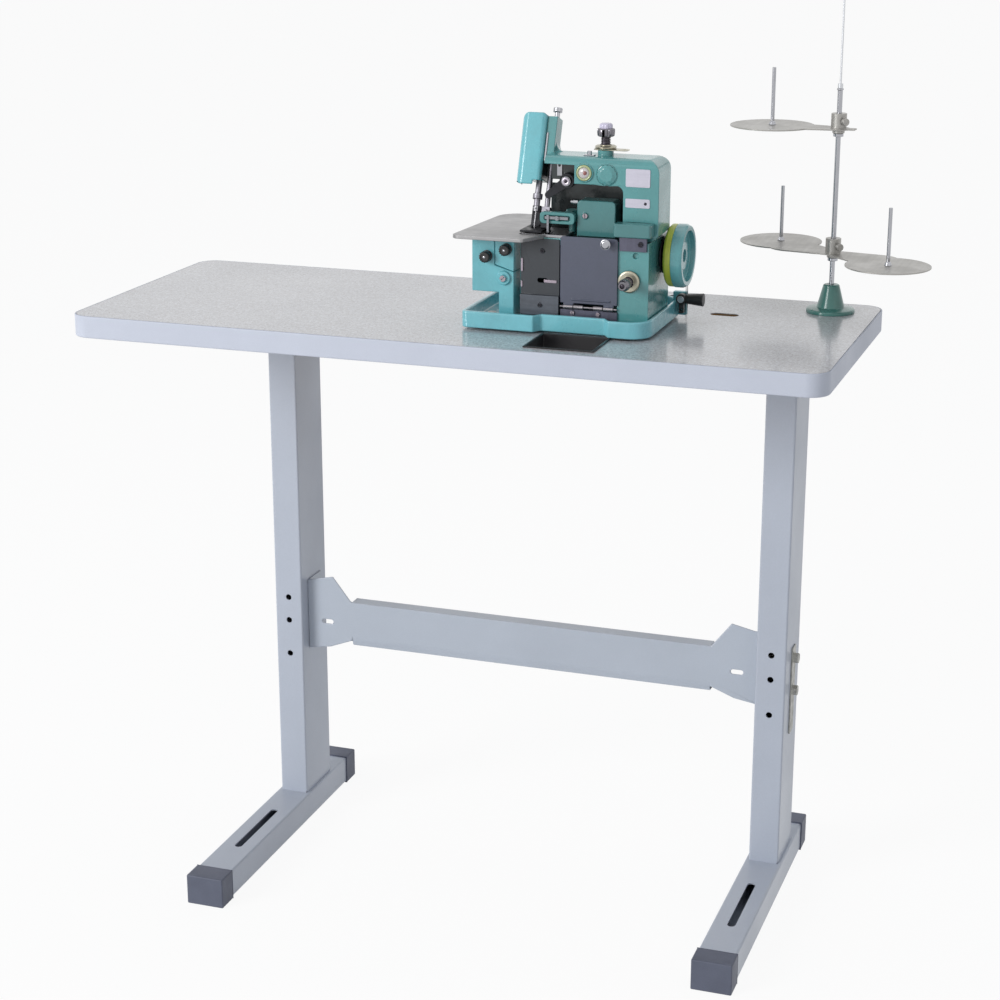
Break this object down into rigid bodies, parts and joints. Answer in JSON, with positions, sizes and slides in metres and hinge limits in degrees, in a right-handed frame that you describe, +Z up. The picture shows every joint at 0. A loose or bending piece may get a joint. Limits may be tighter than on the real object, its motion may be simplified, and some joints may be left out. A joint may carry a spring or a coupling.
{
  "type": "serger overlock machine",
  "caption": "Cast overlock sewing machine head on a laminated table board with two T-shaped legs, a waste chute and a thread stand with spool plates.",
  "frame": {"origin": "on the floor, under the middle of the whole object's bounding box", "axes": "+X to the operator's right, +Y to the back, +Z up"},
  "size_m": [0.9661, 0.427, 1.1557],
  "materials": {
    "laminate": "satin",
    "plywood": "matte",
    "edge_band": "satin",
    "frame_paint": "satin",
    "cap_plastic": "matte",
    "zinc": "brushed",
    "black_plastic": "satin",
    "rubber": "matte",
    "green_plastic": "satin",
    "chrome": "polished",
    "plate_satin": "satin",
    "guide_wire": "satin",
    "teal_paint": "gloss",
    "dark_paint": "satin",
    "label_sheet": "satin",
    "brass": "satin",
    "plate_steel": "ground",
    "tool_steel": "satin",
    "dark_steel": "blackened",
    "arm_paint": "gloss",
    "belt_green": "satin",
    "knob_alloy": "polished"
  },
  "bodies": {
    "machine": {"board_core": "plywood", "board_laminate": "laminate", "edge_band": "edge_band", "left_column": "frame_paint", "right_column": "frame_paint", "left_foot": "frame_paint", "right_foot": "frame_paint", "foot_end_caps": "cap_plastic", "board_channels": "frame_paint", "stretcher": "frame_paint", "stand_fasteners": "zinc", "waste_chute": "black_plastic", "base_pads": "rubber", "head_studs": "zinc", "stand_cone": "green_plastic", "stand_rod": "chrome", "base_tray": "teal_paint", "main_frame": "teal_paint", "face_cover": "teal_paint", "rear_cover": "dark_paint", "block_covers": "teal_paint", "nameplates": "label_sheet", "oil_sight": "brass", "cover_strips": "dark_paint", "left_front_plate": "dark_paint", "plate_carrier": "teal_paint", "plate_bracket": "teal_paint", "throat_plate": "plate_steel", "lower_knife": "tool_steel", "pivot_shafts": "tool_steel", "shaft_bushes": "brass", "tension_discs": "brass", "thread_guides": "guide_wire"},
    "shaft_body": {"main_shaft": "tool_steel", "handwheel": "teal_paint", "belt_ring": "belt_green"},
    "needle_bar_body": {"needle_bar": "tool_steel", "needle": "tool_steel"},
    "needle_lever_body": {"needle_lever": "tool_steel"},
    "knife_body": {"knife_arm": "arm_paint", "upper_knife": "tool_steel"},
    "feed_body": {"feed_dog": "tool_steel"},
    "lower_looper_body": {"lower_looper": "tool_steel"},
    "upper_looper_body": {"upper_looper": "tool_steel"},
    "lift_lever_body": {"lift_lever": "rubber"},
    "presser_body": {"presser_bar": "tool_steel", "presser_foot": "dark_steel"},
    "presser_screw_body": {"presser_screw": "chrome"},
    "front_cover_body": {"front_cover": "dark_paint"},
    "latch_knob_body": {"cover_latch_knob": "chrome"},
    "cloth_plate_body": {"cloth_plate": "plate_steel"},
    "carrier_knob_body": {"carrier_knob": "black_plastic"},
    "bracket_knob_body": {"bracket_knob": "black_plastic"},
    "top_knob_body": {"tension_knob_top": "knob_alloy"},
    "front_knob_body": {"tension_knob_front": "knob_alloy"},
    "lower_plate_body": {"lower_spool_plate": "plate_satin", "lower_spool_pins": "chrome"},
    "upper_plate_body": {"upper_spool_plate": "plate_satin", "upper_spool_pin": "chrome"},
    "guide_wire_body": {"thread_guide_wire": "guide_wire"}
  },
  "joints": [
    {"name": "handwheel_spin", "type": "hinge", "parent": "machine", "child": "shaft_body", "pos_m": [0.2, -0.04, 0.826], "axis": [1, 0, 0], "continuous": true},
    {"name": "needle_bar_slide", "type": "slide", "parent": "machine", "child": "needle_bar_body", "axis": [0, 0.342, 0.9397], "range_m": [0, 0.012]},
    {"name": "needle_lever_rock", "type": "hinge", "parent": "machine", "child": "needle_lever_body", "pos_m": [0.09, -0.076, 0.91], "axis": [0, 1, 0], "range_deg": [0, 25]},
    {"name": "knife_slide", "type": "slide", "parent": "machine", "child": "knife_body", "axis": [0, 0, 1], "range_m": [0, 0.005]},
    {"name": "feed_dog_slide", "type": "slide", "parent": "machine", "child": "feed_body", "axis": [0, 1, 0], "range_m": [0, 0.003]},
    {"name": "lower_looper_swing", "type": "hinge", "parent": "machine", "child": "lower_looper_body", "pos_m": [0.077, -0.078, 0.776], "axis": [0, 1, 0], "range_deg": [0, 12]},
    {"name": "upper_looper_swing", "type": "hinge", "parent": "machine", "child": "upper_looper_body", "pos_m": [0.125, -0.059, 0.786], "axis": [0, 1, 0], "range_deg": [0, 12]},
    {"name": "lift_lever_press", "type": "hinge", "parent": "machine", "child": "lift_lever_body", "pos_m": [0.206, -0.0005, 0.768], "axis": [0, 1, 0], "range_deg": [0, 8]},
    {"name": "presser_bar_slide", "type": "slide", "parent": "machine", "child": "presser_body", "axis": [0, 0.342, 0.9397], "range_m": [0, 0.006], "stiffness_N_per_m": 500, "springref_m": -0.006},
    {"name": "presser_screw_turn", "type": "hinge", "parent": "machine", "child": "presser_screw_body", "pos_m": [0.0645, -0.081, 0.852], "axis": [0, 0.342, 0.9397], "range_deg": [-180, 180]},
    {"name": "front_cover_open", "type": "hinge", "parent": "machine", "child": "front_cover_body", "pos_m": [0.125, -0.1048, 0.7724], "axis": [1, 0, 0], "range_deg": [0, 100]},
    {"name": "cover_latch_turn", "type": "hinge", "parent": "front_cover_body", "child": "latch_knob_body", "pos_m": [0.146, -0.104, 0.847], "axis": [0, 1, 0], "range_deg": [-90, 90]},
    {"name": "cloth_plate_swing", "type": "hinge", "parent": "machine", "child": "cloth_plate_body", "pos_m": [0.031, 0.01, 0.85], "axis": [0, 0, 1], "range_deg": [-50, 0]},
    {"name": "carrier_knob_turn", "type": "hinge", "parent": "machine", "child": "carrier_knob_body", "pos_m": [0.005, -0.108, 0.825], "axis": [0, 1, 0], "range_deg": [-180, 180]},
    {"name": "bracket_knob_turn", "type": "hinge", "parent": "machine", "child": "bracket_knob_body", "pos_m": [0.0285, -0.108, 0.834], "axis": [0, 1, 0], "range_deg": [-180, 180]},
    {"name": "top_tension_turn", "type": "hinge", "parent": "machine", "child": "top_knob_body", "pos_m": [0.131, -0.0655, 0.962], "axis": [0, 0, 1], "range_deg": [-180, 180]},
    {"name": "front_tension_turn", "type": "hinge", "parent": "machine", "child": "front_knob_body", "pos_m": [0.171, -0.116, 0.805], "axis": [0, 1, 0], "range_deg": [-180, 180]},
    {"name": "lower_plate_swivel", "type": "hinge", "parent": "machine", "child": "lower_plate_body", "pos_m": [0.36, 0.105, 0.811], "axis": [0, 0, 1], "range_deg": [-180, 180]},
    {"name": "upper_plate_swivel", "type": "hinge", "parent": "machine", "child": "upper_plate_body", "pos_m": [0.36, 0.105, 0.956], "axis": [0, 0, 1], "range_deg": [-180, 180]},
    {"name": "guide_wire_turn", "type": "hinge", "parent": "machine", "child": "guide_wire_body", "pos_m": [0.36, 0.105, 1.05], "axis": [0, 0, 1], "range_deg": [-180, 180]}
  ],
  "couplings": [
    {"joint": "needle_lever_rock", "follows": "needle_bar_slide", "rad_per_m": 36.325},
    {"joint": "knife_slide", "follows": "needle_bar_slide", "ratio": 0.4163},
    {"joint": "feed_dog_slide", "follows": "needle_bar_slide", "ratio": 0.2497},
    {"joint": "lower_looper_swing", "follows": "needle_bar_slide", "rad_per_m": 17.436},
    {"joint": "upper_looper_swing", "follows": "needle_bar_slide", "rad_per_m": 17.436},
    {"joint": "lift_lever_press", "follows": "presser_bar_slide", "rad_per_m": 23.248}
  ]
}
